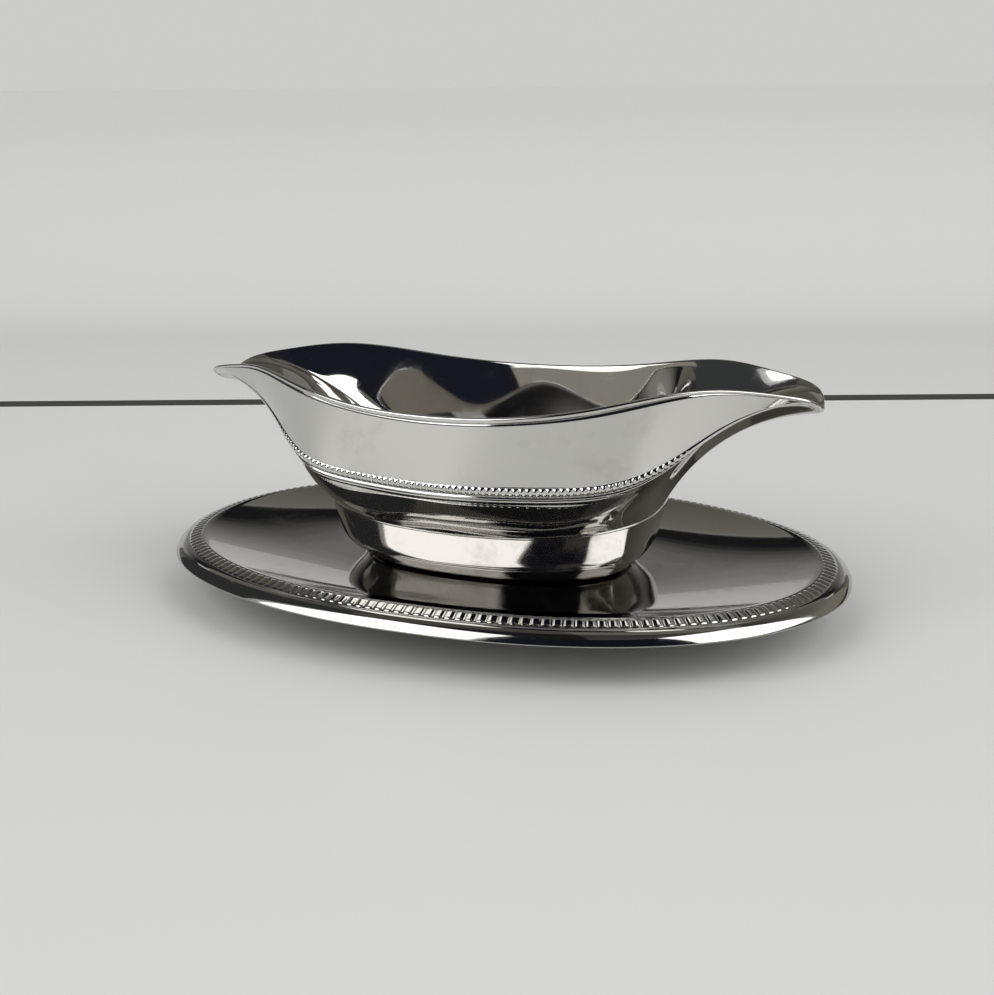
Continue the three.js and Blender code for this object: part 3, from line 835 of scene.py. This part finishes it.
def studio():
    board_strip("board", BOARD_NEAR, BOARD_EDGE, plain("board", BOARD_COLOUR, BOARD_ROUGHNESS))
    # A dark strip of painted shadow where the board's far edge meets the sweep
    board_strip("painted_shadow_gap", BOARD_EDGE, BOARD_EDGE + SHADOW_GAP_WIDTH, plain("painted_shadow_gap", PAINTED_SHADOW_GAP_COLOUR, SHADOW_GAP_ROUGHNESS))
    sweep(plain("sweep", SWEEP_COLOUR, SWEEP_ROUGHNESS))
    for details in CARDS:
        card(*details)
    for name, directions in WINDOWS:
        window(name, directions)
    scene = bpy.context.scene
    scene.world = bpy.data.worlds.new("room")
    scene.world.use_nodes = True
    scene.world.node_tree.nodes["Background"].inputs[0].default_value = (*ROOM_COLOUR, 1)
    scene.view_settings.view_transform = "Standard"


# The camera, as solved from the photograph's outlines
PHOTO_WIDTH = 994
FOCAL_PIXELS = 1121
SENSOR_WIDTH = 36
CAMERA_DISTANCE = 0.3774
CAMERA_ELEVATION = math.radians(20.35)
CAMERA_YAW = math.radians(19.9)
CAMERA_ROLL = math.radians(-0.45)
TARGET_ASIDE = -0.00045
TARGET_HEIGHT = 0.03065
NEAREST_SEEN = 0.01


def camera():
    e, a = CAMERA_ELEVATION, CAMERA_YAW
    place = Vector((math.sin(a) * math.cos(e), -math.cos(a) * math.cos(e), math.sin(e))) * CAMERA_DISTANCE
    target = Vector((math.cos(a), math.sin(a), 0)) * TARGET_ASIDE + Vector((0, 0, TARGET_HEIGHT))
    forward = (target - place).normalized()
    right = forward.cross(Vector((0, 0, 1))).normalized()
    up = right.cross(forward)
    turned_right = right * math.cos(CAMERA_ROLL) + up * math.sin(CAMERA_ROLL)
    turned_up = up * math.cos(CAMERA_ROLL) - right * math.sin(CAMERA_ROLL)
    data = bpy.data.cameras.new("camera")
    data.sensor_fit = "HORIZONTAL"
    data.sensor_width = SENSOR_WIDTH
    data.lens = SENSOR_WIDTH * FOCAL_PIXELS / PHOTO_WIDTH
    data.clip_start = NEAREST_SEEN
    made = bpy.data.objects.new("camera", data)
    bpy.context.scene.collection.objects.link(made)
    made.matrix_world = Matrix((turned_right, turned_up, -forward)).transposed().to_4x4()
    made.location = place
    bpy.context.scene.camera = made


boat = boat_pressing()
plate = underplate_pressing()
boat.data.materials.append(polished_steel(
    "boat steel", colour=(0.64, 0.63, 0.61), tarnish=(0.52, 0.5, 0.47), roughness=0.035,
    smudge_size=24, smudge_share=0.5,
))
plate.data.materials.append(polished_steel(
    "plate steel", colour=(0.44, 0.43, 0.415), tarnish=(0.34, 0.325, 0.3), roughness=0.045,
    smudge_size=30, smudge_share=0.48,
))
for name, cad_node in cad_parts.items():
    if name.startswith("weld_nugget"):
        cad_node.data.materials.clear()
        cad_node.data.materials.append(weld_steel())
for piece, cad_node, slot in (
    (boat, "boat_shell", "boat_steel"),
    (plate, "underplate", "plate_steel"),
):
    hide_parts(cad_node)
    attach(piece, "root")
studio()
camera()
